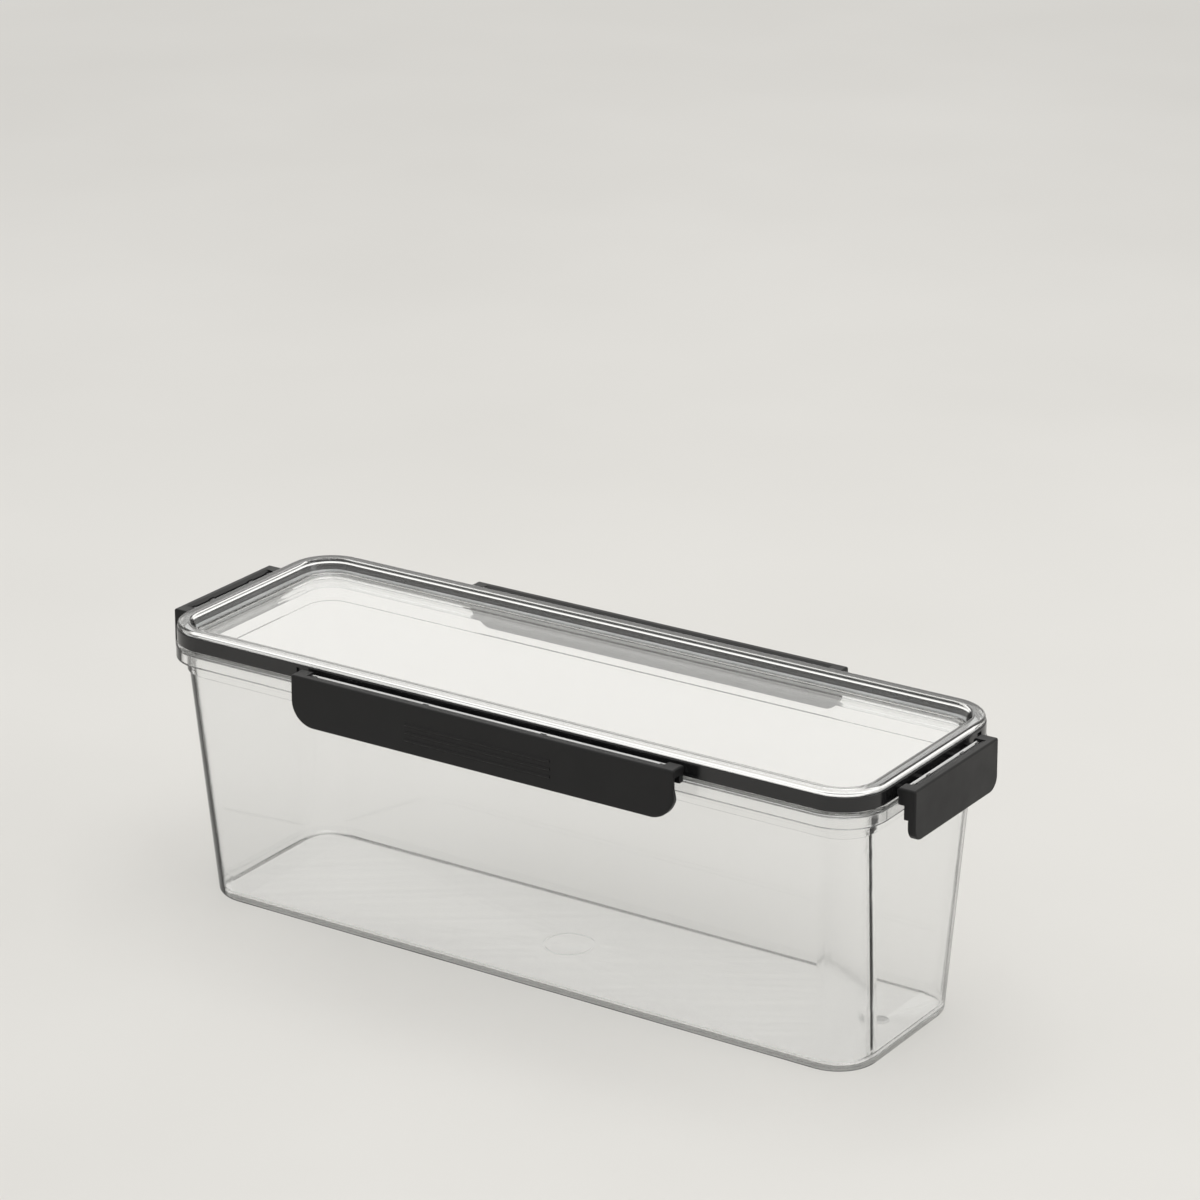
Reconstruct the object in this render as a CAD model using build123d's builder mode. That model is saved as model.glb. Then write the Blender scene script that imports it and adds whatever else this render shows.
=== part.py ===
import os

from build123d import *

os.makedirs("parts", exist_ok=True)

# Driving dimensions, in millimetres.
# X runs along the bin, Y from front to back and Z up; the origin is the middle of the base.

# Lid outline, which every ring round the mouth follows
lid_length = 310.0
lid_width = 103.0
lid_corner = 18.0

# Box
base_length = 295.0
base_width = 78.5
base_corner = 17.0
base_edge = 2.2
base_corner_tuck = 2.4
mouth_corner_tuck = 1.6
box_height = 106.8
box_wall = 2.8
floor_thickness = 2.0
floor_edge = 3.0
mouth_height = 11.3
mouth_inset = 3.6
mouth_step = 0.8
lip_proud = 0.5
lip_height = 6.2
lip_wall = 1.8
lip_web = 2.0
lip_round = 1.2
mark_depth = 0.3
gate_mark_radius = 3.0
gate_mark_place = (130.0, 7.3)
ring_mark_radius = 10.0
ring_mark_width = 0.8

# Lid panel with its hollow rim
rim_inset = 0.4
rim_top_width = 4.8
rim_web = 2.2
rim_wall = 1.7
rim_lean = 1.8
rim_round = 1.0
rim_skirt = 1.2
skirt_drop = 4.6
recess_depth = 4.5
panel_thickness = 2.0
plug_wall = 1.8
plug_drop = 6.0

# Latch frame, the band round the lid
frame_height = 5.6
frame_wall = 1.2
pocket_length = 4.2
pocket_height = 3.4
pocket_depth = 0.8

# Seal
seal_height = 3.0

# Latches and their hinges
long_latch = 168.4
short_latch = 60.0
long_latch_corner = 9.8
short_latch_corner = 5.4
latch_top_drop = 0.2
latch_height = 19.7
latch_reach = 9.3
latch_lean = 0.2
latch_wall = 1.3
latch_edge = 0.8
tab_wall = 2.9
tab_height = 7.7
tab_slope = 5.0
flange_thickness = 2.2
flange_slope = 0.5
flange_slope_width = 2.0
long_arm = 5.8
short_arm = 5.0
arm_cap = 1.2
rod_radius = 0.9
rod_drop = 1.5
knuckle_wall = 0.8
lug_wall = 0.7
lug_width = 2.4
lug_arm = 1.0
lug_tip_drop = 0.1
long_lug_spacing = 52.0
short_lug_spacing = 24.0
long_hook = 140.0
short_hook = 42.0
hook_thickness = 2.3
end_rib_reach = 2.5
end_rib_waist_reach = 4.9
end_rib_depth = 6.2
end_rib_waist_depth = 5.3
grip_length = 64.0
grip_radius = 0.7
grip_rise = 0.35
grip_pitch = 3.0
grip_level = 8.5
grip_count = 3

# Edges that are only broken, and clearances
small_round = 0.4
frame_gap = 0.3
fitting_gap = 0.1
plug_gap = 0.6
rod_gap = 0.06
hinge_gap = 1.8
side_gap = 0.4
rod_sight = 0.7
hook_gap = 0.3
hook_drop = 0.6

# Levels, insets and reaches worked out from the sizes above.
# An inset is measured inwards from the lid outline, a reach outwards from it.
half_length = lid_length / 2
half_width = lid_width / 2
shoulder = box_height - mouth_height
lip_bottom = box_height - lip_height
web_bottom = box_height - lip_web
mouth_inner = mouth_inset + box_wall
wall_inset = mouth_inset + mouth_step
wall_inner = wall_inset + box_wall
hollow_length = base_length - 2 * box_wall
hollow_width = base_width - 2 * box_wall
hollow_corner = base_corner - box_wall - base_corner_tuck
frame_bottom = box_height + frame_gap
frame_top = frame_bottom + frame_height
rim_top = frame_top + rim_web
rim_inner = rim_inset + rim_top_width
recess_level = rim_top - recess_depth
recess_inset = rim_inner + rim_lean
panel_bottom = recess_level - panel_thickness
skirt_outer = frame_wall + fitting_gap
skirt_inner = skirt_outer + rim_skirt
skirt_bottom = frame_top - skirt_drop
plug_outer = mouth_inner + plug_gap
plug_inner = plug_outer + plug_wall
plug_bottom = panel_bottom - plug_drop
channel_top_inset = rim_inner + rim_lean * rim_web / recess_depth - rim_wall
channel_lean = (plug_outer - channel_top_inset) / (frame_top - panel_bottom)
seal_outer = skirt_inner + fitting_gap
seal_inner = plug_outer - fitting_gap
seal_top = box_height + seal_height
seal_top_inner = seal_inner - channel_lean * (seal_top - panel_bottom)
latch_top = frame_top - latch_top_drop
latch_bottom = latch_top - latch_height
knuckle_radius = rod_radius + knuckle_wall
lug_radius = rod_radius + lug_wall
hinge_reach = knuckle_radius + hinge_gap
hinge_level = latch_top - rod_drop
arm_bottom = hinge_level - knuckle_radius
lug_bottom = hinge_level - lug_radius
lug_arm_top = lug_bottom + lug_arm
lug_tip = hinge_level + rod_radius - lug_tip_drop
flange_bottom = latch_top - flange_thickness
flange_reach = hinge_reach + rod_radius + rod_sight
flange_inner_top = latch_top - flange_slope
notch_reach = hinge_reach + lug_radius + side_gap
hook_top = lip_bottom - hook_drop
hook_bottom = hook_top - hook_thickness
hook_reach = lip_proud + hook_gap
tab_top = latch_bottom + tab_height
tab_slope_top = tab_top + tab_slope
end_rib_step = latch_top - end_rib_depth
end_rib_bottom = end_rib_step - end_rib_waist_depth
pocket_level = (frame_bottom + frame_top) / 2
grip_bottom = latch_bottom + grip_level - (grip_count - 1) / 2 * grip_pitch
latch_deep = latch_reach + latch_lean


def face_reach(level):
    """Reach of a latch's leaning outer face at a height."""
    return latch_reach + latch_lean * (latch_top - level) / latch_height


class Side:
    """One side of the lid, with the planes and sizes of its latch."""

    def __init__(self, name, outward, distance, sizes):
        self.name = name
        self.length, self.corner, self.arm, spacing, self.hook = sizes
        out = Vector(*outward)
        up = Vector(0, 0, 1)
        # Sketches on the section read as reach and height, on the face as place along it and height
        self.section = Plane(origin=out * distance, x_dir=out, z_dir=out.cross(up))
        self.face = Plane(origin=out * distance, x_dir=up.cross(out), z_dir=out)
        end_lug = self.length / 2 - self.arm - side_gap - lug_width / 2
        self.lugs = [-end_lug, -spacing / 2, spacing / 2, end_lug]


long_sizes = (long_latch, long_latch_corner, long_arm, long_lug_spacing, long_hook)
short_sizes = (short_latch, short_latch_corner, short_arm, short_lug_spacing, short_hook)
front = Side("front", (0, -1, 0), half_width, long_sizes)
back = Side("back", (0, 1, 0), half_width, long_sizes)
left = Side("left", (-1, 0, 0), half_length, short_sizes)
right = Side("right", (1, 0, 0), half_length, short_sizes)
sides = [front, back, left, right]


def outline(inset, tuck=0):
    """Rounded rectangle at an inset inside the lid outline, with corners tighter by the tuck."""
    return RectangleRounded(lid_length - 2 * inset, lid_width - 2 * inset, lid_corner - inset - tuck)


def ring_section(points, rounds):
    """Closed section of a ring from its insets and heights, with some corners rounded."""
    with BuildSketch(front.section) as section:
        Polygon(*[(-inset, level) for inset, level in points], align=None)
        for inset, level, radius in rounds:
            fillet(section.vertices().sort_by_distance((-inset, level))[0], radius)
    return section.sketch


# The loop runs once round the lid outline, from the middle of the front
with BuildLine() as lid_loop:
    run = Line((0, -half_width), (half_length - lid_corner, -half_width))
    across = lid_width - 2 * lid_corner
    along = lid_length - 2 * lid_corner
    for leg in (across, along, across, along / 2):
        bend = JernArc(start=run @ 1, tangent=run % 1, radius=lid_corner, arc_size=90)
        run = Line(bend @ 1, bend @ 1 + (bend % 1) * leg)
lid_path = lid_loop.wires()[0]

# Box: a drafted tub with a stepped mouth and a lip turned down round it
with BuildPart() as box:
    with BuildSketch():
        RectangleRounded(base_length, base_width, base_corner)
    with BuildSketch(Plane.XY.offset(shoulder)):
        outline(wall_inset)
    loft(ruled=True)
    fillet(box.faces().sort_by(Axis.Z)[0].edges(), base_edge)
    section = ring_section(
        [
            (wall_inner + box_wall, shoulder),
            (mouth_inset, shoulder),
            (mouth_inset, web_bottom),
            (lip_wall - lip_proud, web_bottom),
            (lip_wall - lip_proud, lip_bottom),
            (-lip_proud, lip_bottom),
            (-lip_proud, box_height),
            (wall_inner + box_wall, box_height),
        ],
        [
            (-lip_proud, box_height, lip_round),
            (-lip_proud, lip_bottom, lip_wall / 3),
            (lip_wall - lip_proud, lip_bottom, lip_wall / 3),
            (lip_wall - lip_proud, web_bottom, small_round),
            (mouth_inset, web_bottom, small_round),
            (mouth_inset, shoulder, small_round),
        ],
    )
    sweep(sections=section, path=lid_path)
    # The hollow, whose upright corners are a little tighter than the outer ones, most so at the base
    with BuildSketch(Plane.XY.offset(floor_thickness)):
        RectangleRounded(hollow_length, hollow_width, hollow_corner)
    with BuildSketch(Plane.XY.offset(shoulder)):
        outline(wall_inner, mouth_corner_tuck)
    with BuildSketch(Plane.XY.offset(box_height)):
        outline(mouth_inner, mouth_corner_tuck)
    loft(ruled=True, mode=Mode.SUBTRACT)
    inner_floor = box.faces().filter_by(Axis.Z).sort_by_distance((0, 0, floor_thickness))[0]
    fillet(inner_floor.edges(), floor_edge)
    fillet(box.faces().sort_by(Axis.Z)[-1].inner_wires()[0].edges(), small_round)
    # Shallow plain moulding marks under the floor
    with BuildSketch():
        Circle(ring_mark_radius)
        Circle(ring_mark_radius - ring_mark_width, mode=Mode.SUBTRACT)
        with Locations(gate_mark_place):
            Circle(gate_mark_radius)
    extrude(amount=mark_depth, mode=Mode.SUBTRACT)
box.part.label = "box"
export_step(box.part, "parts/box.step")

# Lid panel: a recessed pane in a hollow rim, with a plug that enters the mouth
with BuildPart() as lid_panel:
    section = ring_section(
        [
            (rim_inset, frame_top),
            (rim_inset, rim_top),
            (rim_inner, rim_top),
            (recess_inset, recess_level),
            (plug_inner, recess_level),
            (plug_inner, plug_bottom),
            (plug_outer, plug_bottom),
            (plug_outer, panel_bottom),
            (channel_top_inset, frame_top),
            (skirt_inner, frame_top),
            (skirt_inner, skirt_bottom),
            (skirt_outer, skirt_bottom),
            (skirt_outer, frame_top),
        ],
        [
            (rim_inset, rim_top, rim_round),
            (rim_inner, rim_top, rim_round),
            (recess_inset, recess_level, rim_round),
            (plug_inner, plug_bottom, 0.45 * plug_wall),
            (plug_outer, plug_bottom, 0.45 * plug_wall),
        ],
    )
    sweep(sections=section, path=lid_path)
    with BuildSketch(Plane.XY.offset(panel_bottom)):
        outline(plug_inner - plug_wall / 2)
    extrude(amount=panel_thickness)
lid_panel.part.label = "lid_panel"
export_step(lid_panel.part, "parts/lid_panel.step")

# Latch frame: the band round the rim, with lugs for the rods and a pocket past each latch end
over = (Align.CENTER, Align.MIN)
over_inside = (Align.MAX, Align.MIN)
with BuildPart() as latch_frame:
    section = ring_section(
        [
            (0, frame_bottom),
            (0, frame_top),
            (frame_wall, frame_top),
            (frame_wall, frame_bottom),
        ],
        [(0, frame_bottom, small_round), (0, frame_top, small_round)],
    )
    sweep(sections=section, path=lid_path)
    for side in sides:
        for place in side.lugs:
            with BuildSketch(side.section.offset(place)):
                # A hook that carries the rod from below and outside, and is open above it
                with Locations((hinge_reach, hinge_level)):
                    Circle(lug_radius)
                with Locations((hinge_reach, lug_tip)):
                    Rectangle(2 * lug_radius, lug_radius, align=over, mode=Mode.SUBTRACT)
                with Locations((hinge_reach, lug_arm_top)):
                    Rectangle(lug_radius, 2 * lug_radius, align=over_inside, mode=Mode.SUBTRACT)
                with Locations((hinge_reach, lug_bottom)):
                    Rectangle(hinge_reach + frame_wall / 2, lug_arm, align=over_inside)
                with Locations((hinge_reach, hinge_level)):
                    Circle(rod_radius, mode=Mode.SUBTRACT)
            extrude(amount=lug_width / 2, both=True)
        with BuildSketch(side.face.offset(-pocket_depth)):
            for end in (-1, 1):
                with Locations((end * (side.length + pocket_length) / 2, pocket_level)):
                    Rectangle(pocket_length, pocket_height)
        extrude(amount=pocket_depth, mode=Mode.SUBTRACT)
latch_frame.part.label = "latch_frame"
export_step(latch_frame.part, "parts/latch_frame.step")

# Seal: a ring in the rim's channel that rests on the mouth
with BuildPart() as seal:
    section = ring_section(
        [
            (seal_outer, box_height),
            (seal_inner, box_height),
            (seal_inner, panel_bottom),
            (seal_top_inner, seal_top),
            (seal_outer, seal_top),
        ],
        [
            (seal_outer, seal_top, small_round),
            (seal_top_inner, seal_top, small_round),
        ],
    )
    sweep(sections=section, path=lid_path)
seal.part.label = "seal"
export_step(seal.part, "parts/seal.step")

# Hinge rods, held in the frame's lugs and ending inside the latches' arms
for side in sides:
    with BuildPart() as rod:
        with BuildSketch(side.section):
            with Locations((hinge_reach, hinge_level)):
                Circle(rod_radius)
        extrude(amount=side.length / 2 - arm_cap - fitting_gap, both=True)
        chamfer(rod.edges().filter_by(GeomType.CIRCLE), rod_radius / 4)
    rod.part.label = f"hinge_rod_{side.name}"
    export_step(rod.part, f"parts/hinge_rod_{side.name}.step")

# Latches: a flap with a top flange, two hinge arms with heels, a hook and a finger tab
for side in sides:
    with BuildPart() as latch:
        with BuildSketch(side.section) as flap:
            Polygon(
                (flange_reach, flange_inner_top),
                (flange_reach + flange_slope_width, latch_top),
                (latch_reach, latch_top),
                (latch_deep, latch_bottom),
                (latch_deep - tab_wall, latch_bottom),
                (face_reach(tab_top) - tab_wall, tab_top),
                (face_reach(tab_slope_top) - latch_wall, tab_slope_top),
                (face_reach(flange_bottom) - latch_wall, flange_bottom),
                (flange_reach, flange_bottom),
                align=None,
            )
            tab_edge = flap.vertices().sort_by_distance((latch_deep - tab_wall, latch_bottom))[0]
            fillet(tab_edge, tab_wall / 3)
        extrude(amount=side.length / 2, both=True)
        with BuildSketch(side.section):
            Polygon(
                (hook_reach, hook_top),
                (face_reach(hook_top) - tab_wall / 2, hook_top),
                (face_reach(hook_bottom) - tab_wall / 2, hook_bottom),
                (hook_reach + hook_thickness / 2, hook_bottom),
                (hook_reach, (hook_top + hook_bottom) / 2),
                align=None,
            )
        extrude(amount=side.hook / 2, both=True)
        for end in (-1, 1):
            with BuildSketch(side.section.offset(end * (side.length / 2 - side.arm))):
                with Locations((hinge_reach, hinge_level)):
                    Circle(knuckle_radius)
                Polygon(
                    (hinge_reach, latch_top),
                    (latch_reach, latch_top),
                    (face_reach(arm_bottom) - latch_wall / 2, arm_bottom),
                    (hinge_reach, arm_bottom),
                    align=None,
                )
                Polygon(
                    (end_rib_reach, hinge_level),
                    (end_rib_waist_reach, hinge_level),
                    (end_rib_waist_reach, end_rib_step),
                    (end_rib_reach, end_rib_step),
                    align=None,
                )
                if side in (left, right):
                    Polygon(
                        (end_rib_waist_reach, hinge_level),
                        (latch_reach - latch_wall / 2, hinge_level),
                        (face_reach(end_rib_bottom) - tab_wall / 2, end_rib_bottom),
                        (end_rib_waist_reach, end_rib_bottom),
                        align=None,
                    )
            extrude(amount=end * side.arm)
        with BuildSketch(side.face) as shape:
            with Locations((0, latch_bottom + latch_height / 2)):
                Rectangle(side.length, latch_height)
            fillet(shape.vertices().group_by(Axis.Y)[0], side.corner)
            fillet(shape.vertices().group_by(Axis.Y)[-1], latch_edge)
        extrude(amount=latch_deep, mode=Mode.INTERSECT)
        outer_face = latch.faces().sort_by(Axis(side.face.origin, side.face.z_dir))[-1]
        fillet(outer_face.edges(), latch_edge)
        with BuildSketch(side.section):
            with Locations((hinge_reach, hinge_level)):
                Circle(rod_radius + rod_gap)
        extrude(amount=side.length / 2 - arm_cap, both=True, mode=Mode.SUBTRACT)
        for place in side.lugs:
            with BuildSketch(side.section.offset(place)):
                with Locations((notch_reach / 2, hinge_level)):
                    Rectangle(notch_reach, 2 * knuckle_radius + side_gap)
            extrude(amount=lug_width / 2 + side_gap, both=True, mode=Mode.SUBTRACT)
        if side in (front, back):
            with BuildSketch(side.section):
                for bar in range(grip_count):
                    level = grip_bottom + bar * grip_pitch
                    with Locations((face_reach(level) + grip_rise - grip_radius, level)):
                        Circle(grip_radius)
            extrude(amount=grip_length / 2, both=True)
    latch.part.label = f"latch_{side.name}"
    export_step(latch.part, f"parts/latch_{side.name}.step")
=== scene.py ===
import math

import bpy
from mathutils import Matrix, Vector

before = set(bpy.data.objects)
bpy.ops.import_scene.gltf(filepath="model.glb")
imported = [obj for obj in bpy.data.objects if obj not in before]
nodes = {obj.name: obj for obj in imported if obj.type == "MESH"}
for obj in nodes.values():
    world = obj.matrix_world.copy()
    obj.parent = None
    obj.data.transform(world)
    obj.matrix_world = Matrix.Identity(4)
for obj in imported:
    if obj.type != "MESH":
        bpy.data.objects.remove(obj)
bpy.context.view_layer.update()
print("frame loaded:", len(nodes), "pieces")

# small helpers for shader nodes, where owner is a material or the world

noiseSpan = (0.3, 0.7)  # most of a noise field lies between these
mixSockets = {"share": 0, "from": 6, "to": 7, "result": 2}  # a mix node's colour sockets share their names


def newMaterial(name):
    material = bpy.data.materials.new(name)
    material.use_nodes = True
    return material, material.node_tree.nodes["Principled BSDF"]


def addNode(owner, kind, **settings):
    node = owner.node_tree.nodes.new(kind)
    for key, value in settings.items():
        setattr(node, key, value)
    return node


def join(owner, source, target):
    owner.node_tree.links.new(source, target)


def joinInOrder(owner, sources, node):
    for source, target in zip(sources, node.inputs):
        join(owner, source, target)


def mathOf(owner, operation, *values):
    node = addNode(owner, "ShaderNodeMath", operation=operation)
    joinInOrder(owner, values, node)
    return node.outputs["Value"]


def objectPlace(owner):
    return addNode(owner, "ShaderNodeTexCoord").outputs["Object"]


def noiseField(owner, scale, detail, stretch=(1, 1, 1)):
    mapping = addNode(owner, "ShaderNodeMapping")
    mapping.inputs["Scale"].default_value = stretch
    noise = addNode(owner, "ShaderNodeTexNoise")
    noise.inputs["Scale"].default_value = scale
    noise.inputs["Detail"].default_value = detail
    join(owner, objectPlace(owner), mapping.inputs["Vector"])
    join(owner, mapping.outputs["Vector"], noise.inputs["Vector"])
    return noise.outputs["Fac"]


def spread(owner, value, low, high, span=noiseSpan):
    start, end = span
    ranger = addNode(owner, "ShaderNodeMapRange")
    ranger.inputs["From Min"].default_value = start
    ranger.inputs["From Max"].default_value = end
    ranger.inputs["To Min"].default_value = low
    ranger.inputs["To Max"].default_value = high
    join(owner, value, ranger.inputs["Value"])
    return ranger.outputs["Result"]


def tintBetween(owner, value, dark, light, span=noiseSpan):
    ramp = addNode(owner, "ShaderNodeValToRGB")
    for stop, position, colour in zip(ramp.color_ramp.elements, span, (dark, light)):
        stop.position = position
        stop.color = (*colour, 1)
    join(owner, value, ramp.inputs["Fac"])
    return ramp.outputs["Color"]


def mixTo(owner, share, source, colour):
    # source is a plain colour or the output of a node
    mix = addNode(owner, "ShaderNodeMix", data_type="RGBA")
    join(owner, share, mix.inputs[mixSockets["share"]])
    if isinstance(source, tuple):
        mix.inputs[mixSockets["from"]].default_value = (*source, 1)
    else:
        join(owner, source, mix.inputs[mixSockets["from"]])
    mix.inputs[mixSockets["to"]].default_value = (*colour, 1)
    return mix.outputs[mixSockets["result"]]


def bumpFrom(owner, height, distance, strength):
    bump = addNode(owner, "ShaderNodeBump")
    bump.inputs["Distance"].default_value = distance
    bump.inputs["Strength"].default_value = strength
    join(owner, height, bump.inputs["Height"])
    return bump.outputs["Normal"]


def tintAndSheen(material, shader, look, field):
    # colour and roughness follow the same field
    join(material, tintBetween(material, field, look["dark"], look["light"]), shader.inputs["Base Color"])
    join(material, spread(material, field, *look["sheen"]), shader.inputs["Roughness"])


# clear plastic of the box and the lid

clearLook = {
    "tint": (0.996, 0.998, 0.999), "ior": 1.54,
    "scuffs": {"scale": 260, "detail": 4, "stretch": (1, 1, 0.15)}, "scuffSpan": (0.5, 0.85),
    "smooth": 0.0, "scuffed": 0.04,  # roughness of the walls
    "bent": 0.12, "bend": (0.004, 0.05),  # roughness of the upright corners, and where it sets in
    "flow": {"scale": 22, "detail": 2}, "wave": 0.000012, "waveStrength": 0.5,
    "shade": (0.998, 0.998, 0.998), "deep": (0.42, 0.45, 0.46), "density": 16,
    "edgeShadeAndMarkTone": (0.0008, 0.00085, 0.0009), "turned": (0.49, 0.6),  # tone of the painted edge shade and of the gate mark, and how far edges turn before the shade sets in
    "corner": (0.14, 0.3), "footShade": (-0.4, -0.2), "footShadeShare": 0.985,  # where the painted edge shade goes
}
# the round mark left under the floor of the box where the plastic ran in
gateMark = {"at": (0.130, 0.0073, 0.0003), "radius": (0.0029, 0.0034), "share": 0.5}


def normalAxes(material):
    shape = addNode(material, "ShaderNodeNewGeometry")
    axes = addNode(material, "ShaderNodeSeparateXYZ")
    join(material, shape.outputs["Normal"], axes.inputs["Vector"])
    return axes.outputs


def cornerSlant(material, axes):
    # nothing on flat walls, most on upright corners
    slant = mathOf(material, "MULTIPLY", axes["X"], axes["Y"])
    return mathOf(material, "ABSOLUTE", slant)


def paintedEdgeShadeAndMark(material, look, axes, slant, mark):
    # painted shade: upright corners and the foot go dark where they turn away from the eye
    corner = spread(material, slant, 0, 1, look["corner"])
    footShade = spread(material, axes["Z"], look["footShadeShare"], 0, look["footShade"])
    layer = addNode(material, "ShaderNodeLayerWeight")
    turned = spread(material, layer.outputs["Facing"], 0, 1, look["turned"])
    dark = mathOf(material, "MULTIPLY", mathOf(material, "MAXIMUM", corner, footShade), turned)
    # the gate mark is the plastic's own grey spot, given half of the same tone
    if mark:
        spot = addNode(material, "ShaderNodeVectorMath", operation="DISTANCE")
        here, centre = spot.inputs[:2]
        join(material, objectPlace(material), here)
        centre.default_value = mark["at"]
        disc = spread(material, spot.outputs["Value"], mark["share"], 0, mark["radius"])
        dark = mathOf(material, "MAXIMUM", dark, disc)
    return mixTo(material, dark, look["tint"], look["edgeShadeAndMarkTone"])


def lightThrough(material, shader, look):
    # lamps shine through the clear walls, with a little lost at each
    rays = addNode(material, "ShaderNodeLightPath")
    soft = mathOf(material, "MAXIMUM", rays.outputs["Is Shadow Ray"], rays.outputs["Is Diffuse Ray"])
    passing = addNode(material, "ShaderNodeBsdfTransparent")
    passing.inputs["Color"].default_value = (*look["shade"], 1)
    mix = addNode(material, "ShaderNodeMixShader")
    joinInOrder(material, (soft, shader.outputs["BSDF"], passing.outputs["BSDF"]), mix)
    return mix.outputs["Shader"]


def clearPlastic(name, look, mark=None):
    material, shader = newMaterial(name)
    axes = normalAxes(material)
    slant = cornerSlant(material, axes)
    tint = paintedEdgeShadeAndMark(material, look, axes, slant, mark)
    # the painted edge shade darkens both what shows through the plastic and what it reflects
    join(material, tint, shader.inputs["Base Color"])
    join(material, tint, shader.inputs["Specular Tint"])
    shader.inputs["Transmission Weight"].default_value = 1
    shader.inputs["IOR"].default_value = look["ior"]
    scuffs = noiseField(material, **look["scuffs"])
    fine = spread(material, scuffs, look["smooth"], look["scuffed"], look["scuffSpan"])
    # what shows through the bent corners is a little soft
    bent = spread(material, slant, 0, look["bent"], look["bend"])
    join(material, mathOf(material, "MAXIMUM", fine, bent), shader.inputs["Roughness"])
    flow = noiseField(material, **look["flow"])
    ripple = bumpFrom(material, flow, look["wave"], look["waveStrength"])
    join(material, ripple, shader.inputs["Normal"])
    output = material.node_tree.nodes["Material Output"]
    join(material, lightThrough(material, shader, look), output.inputs["Surface"])
    # long ways through the plastic, as along its edges, go grey
    depth = addNode(material, "ShaderNodeVolumeAbsorption")
    depth.inputs["Color"].default_value = (*look["deep"], 1)
    depth.inputs["Density"].default_value = look["density"]
    join(material, depth.outputs["Volume"], output.inputs["Volume"])
    return material


# black plastic of the latches and the band

latchLook = {
    "dark": (0.006, 0.006, 0.0065), "light": (0.010, 0.010, 0.0105), "mirror": 0.28,
    "sheen": (0.38, 0.52), "cloud": {"scale": 70, "detail": 4},
    "grain": {"scale": 2600, "detail": 2}, "grainDepth": 0.00002, "grainStrength": 0.6,
}
bandLook = {
    "dark": (0.010, 0.010, 0.0105), "light": (0.016, 0.016, 0.0165), "mirror": 0.5,
    "sheen": (0.15, 0.26), "cloud": {"scale": 70, "detail": 4},
    "grain": {"scale": 1500, "detail": 2}, "grainDepth": 0.00001, "grainStrength": 0.6,
}


def mouldedPlastic(name, look):
    material, shader = newMaterial(name)
    tintAndSheen(material, shader, look, noiseField(material, **look["cloud"]))
    shader.inputs["Specular IOR Level"].default_value = look["mirror"]
    grain = noiseField(material, **look["grain"])
    texture = bumpFrom(material, grain, look["grainDepth"], look["grainStrength"])
    join(material, texture, shader.inputs["Normal"])
    return material


# pale rubber of the seal

sealLook = {
    "dark": (0.36, 0.365, 0.36), "light": (0.46, 0.465, 0.46), "sheen": (0.4, 0.55),
    "cloud": {"scale": 120, "detail": 3}, "scatter": 0.3, "scatterDepth": (0.002, 0.002, 0.002),
}


def siliconeRubber(name, look):
    material, shader = newMaterial(name)
    tintAndSheen(material, shader, look, noiseField(material, **look["cloud"]))
    shader.inputs["Subsurface Weight"].default_value = look["scatter"]
    shader.inputs["Subsurface Radius"].default_value = look["scatterDepth"]
    return material


# steel of the hinge rods, drawn out along each rod

rodLook = {
    "dark": (0.62, 0.63, 0.64), "light": (0.8, 0.81, 0.82), "sheen": (0.16, 0.3),
    "streak": {"scale": 900, "detail": 3}, "alongX": (0.04, 1, 1), "alongY": (1, 0.04, 1),
}


def drawnSteel(name, look, stretch):
    material, shader = newMaterial(name)
    tintAndSheen(material, shader, look, noiseField(material, **look["streak"], stretch=stretch))
    shader.inputs["Metallic"].default_value = 1
    return material


def dress(piece, material):
    piece.data.materials.clear()
    piece.data.materials.append(material)


dress(nodes["box"], clearPlastic("boxPlastic", clearLook, gateMark))
dress(nodes["lid_panel"], clearPlastic("lidPlastic", clearLook))
dress(nodes["latch_frame"], mouldedPlastic("bandPlastic", bandLook))
dress(nodes["seal"], siliconeRubber("sealSilicone", sealLook))
latchMaterial = mouldedPlastic("latchPlastic", latchLook)
longRodMaterial = drawnSteel("longRodSteel", rodLook, rodLook["alongX"])
shortRodMaterial = drawnSteel("shortRodSteel", rodLook, rodLook["alongY"])
rodMaterials = {
    "front": longRodMaterial, "back": longRodMaterial,
    "left": shortRodMaterial, "right": shortRodMaterial,
}
for side, rodMaterial in rodMaterials.items():
    dress(nodes["latch_" + side], latchMaterial)
    dress(nodes["hinge_rod_" + side], rodMaterial)
print("materials done")

# floor, backdrop and light

backdropTone = (0.80, 0.785, 0.75)
floorLook = {
    "size": 40, "dark": (0.70, 0.685, 0.65), "light": (0.74, 0.725, 0.69),
    "cloud": {"scale": 3, "detail": 3}, "fade": (1.5, 6.0), "faded": (0, 0, 0),
}


def makeFloor(look):
    bpy.ops.mesh.primitive_plane_add(size=look["size"])
    floor = bpy.context.object
    floor.name = "floor"
    material, shader = newMaterial("floorStone")
    cloud = noiseField(material, **look["cloud"])
    near = tintBetween(material, cloud, look["dark"], look["light"])
    # far off, the floor turns into the pale tone behind it
    away = addNode(material, "ShaderNodeVectorMath", operation="LENGTH")
    join(material, objectPlace(material), away.inputs["Vector"])
    fade = spread(material, away.outputs["Value"], 0, 1, look["fade"])
    join(material, mixTo(material, fade, near, look["faded"]), shader.inputs["Base Color"])
    shader.inputs["Specular IOR Level"].default_value = 0
    shader.inputs["Emission Color"].default_value = (*backdropTone, 1)
    join(material, fade, shader.inputs["Emission Strength"])
    dress(floor, material)


makeFloor(floorLook)

worldLook = {"horizon": (0.25, 0.25, 0.25), "zenith": (0.8, 0.8, 0.8), "rise": (0.05, 0.7)}


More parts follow.
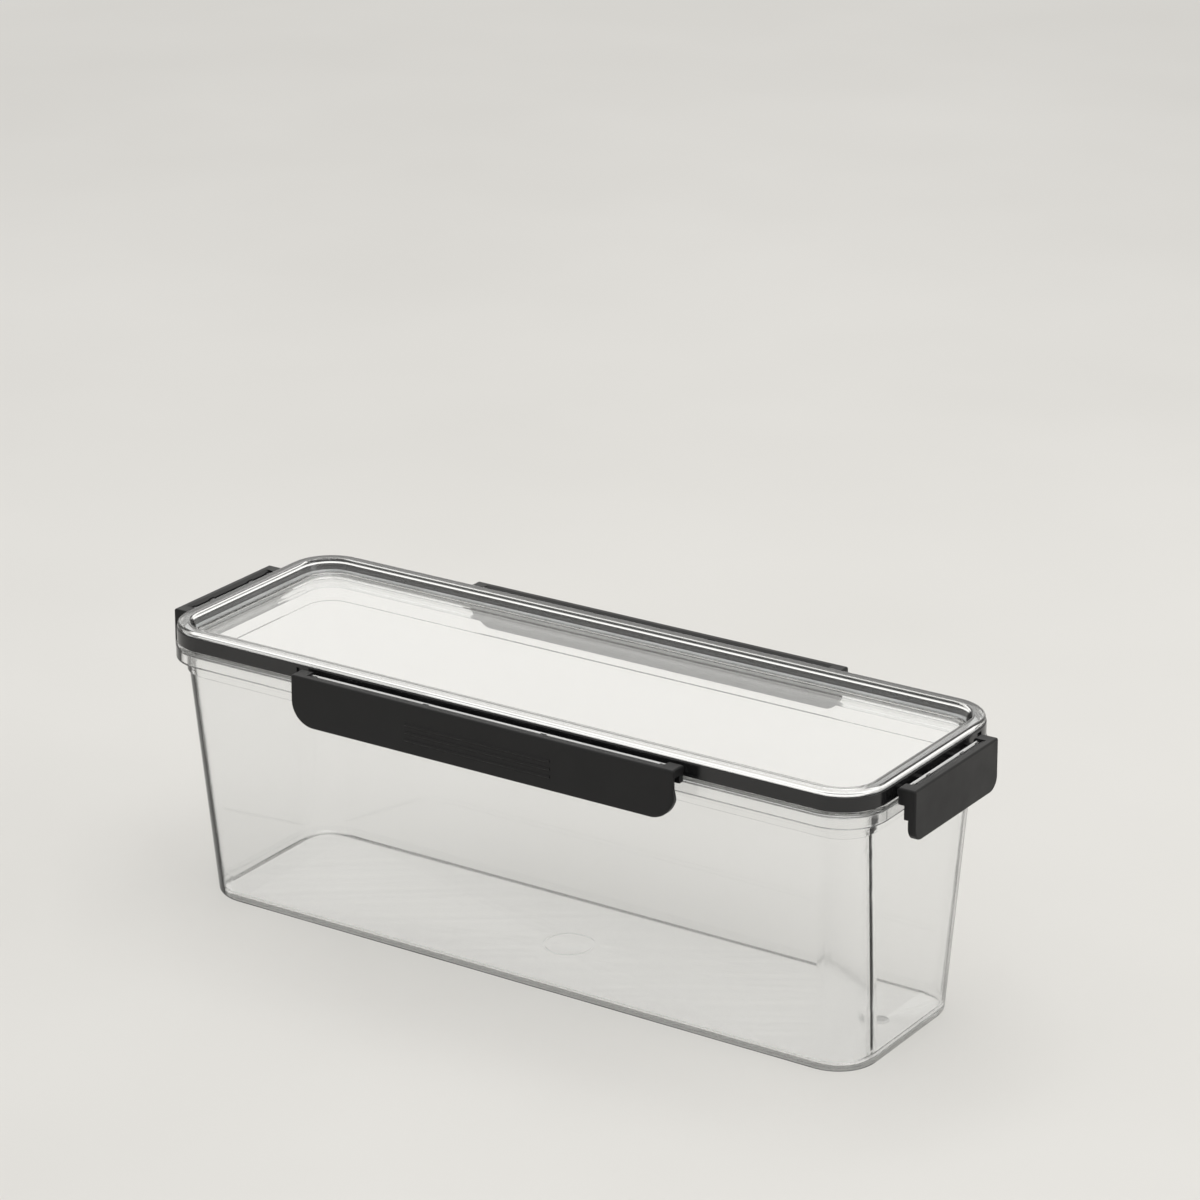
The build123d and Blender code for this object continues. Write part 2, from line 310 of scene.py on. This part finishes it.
def makeWorld(look):
    world = bpy.data.worlds.new("studio")
    bpy.context.scene.world = world
    world.use_nodes = True
    place = addNode(world, "ShaderNodeTexCoord")
    axes = addNode(world, "ShaderNodeSeparateXYZ")
    join(world, place.outputs["Generated"], axes.inputs["Vector"])
    sky = tintBetween(world, axes.outputs["Z"], look["horizon"], look["zenith"], look["rise"])
    # the camera, also through clear walls and in gloss, sees one pale tone behind the floor
    rays = addNode(world, "ShaderNodeLightPath")
    mirrored = mathOf(world, "MAXIMUM", rays.outputs["Is Glossy Ray"], rays.outputs["Is Transmission Ray"])
    seen = mathOf(world, "MAXIMUM", rays.outputs["Is Camera Ray"], mirrored)
    background = world.node_tree.nodes["Background"]
    join(world, mixTo(world, seen, sky, backdropTone), background.inputs["Color"])


makeWorld(worldLook)

# each lamp: where it stands, what it looks at, its size and its power
lamps = {
    "topLamp": {"at": (0.1, 0.1, 1.6), "to": (0, 0, 0.05), "size": (1.4, 0.9), "power": 10.2},
    "backLamp": {"at": (-1.1, 1.7, 0.85), "to": (0, 0, 0.1), "size": (2.2, 0.9), "power": 2.7},
    "rightLamp": {"at": (1.7, 0.4, 0.7), "to": (0, 0, 0.08), "size": (0.8, 0.8), "power": 4},
}


def makeLamp(name, lamp):
    data = bpy.data.lights.new(name, "AREA")
    data.shape = "RECTANGLE"
    data.size, data.size_y = lamp["size"]
    data.energy = lamp["power"]
    light = bpy.data.objects.new(name, data)
    bpy.context.scene.collection.objects.link(light)
    light.location = lamp["at"]
    light.visible_camera = False
    aim = Vector(lamp["to"]) - Vector(lamp["at"])
    light.rotation_euler = aim.to_track_quat("-Z", "Y").to_euler()


for lampName, lamp in lamps.items():
    makeLamp(lampName, lamp)
print("light done")

# camera, as the photograph was taken, in metres, degrees and millimetres of lens and sensor

cameraLook = {
    "at": (0.82397, -1.22214, 0.68698), "azimuth": 33.558, "pitch": 20.344,
    "lens": 127.683, "sensor": 36,
}


def makeCamera(look):
    data = bpy.data.cameras.new("camera")
    data.sensor_width = look["sensor"]
    data.lens = look["lens"]
    camera = bpy.data.objects.new("camera", data)
    bpy.context.scene.collection.objects.link(camera)
    turn, tilt = math.radians(look["azimuth"]), math.radians(look["pitch"])
    behind = Vector((math.sin(turn) * math.cos(tilt), -math.cos(turn) * math.cos(tilt), math.sin(tilt)))
    right = Vector((math.cos(turn), math.sin(turn), 0))
    facing = Matrix((right, behind.cross(right), behind)).transposed().to_4x4()
    camera.matrix_world = Matrix.Translation(look["at"]) @ facing
    bpy.context.scene.camera = camera


makeCamera(cameraLook)
bpy.context.scene.view_settings.view_transform = "Standard"
print("camera done")
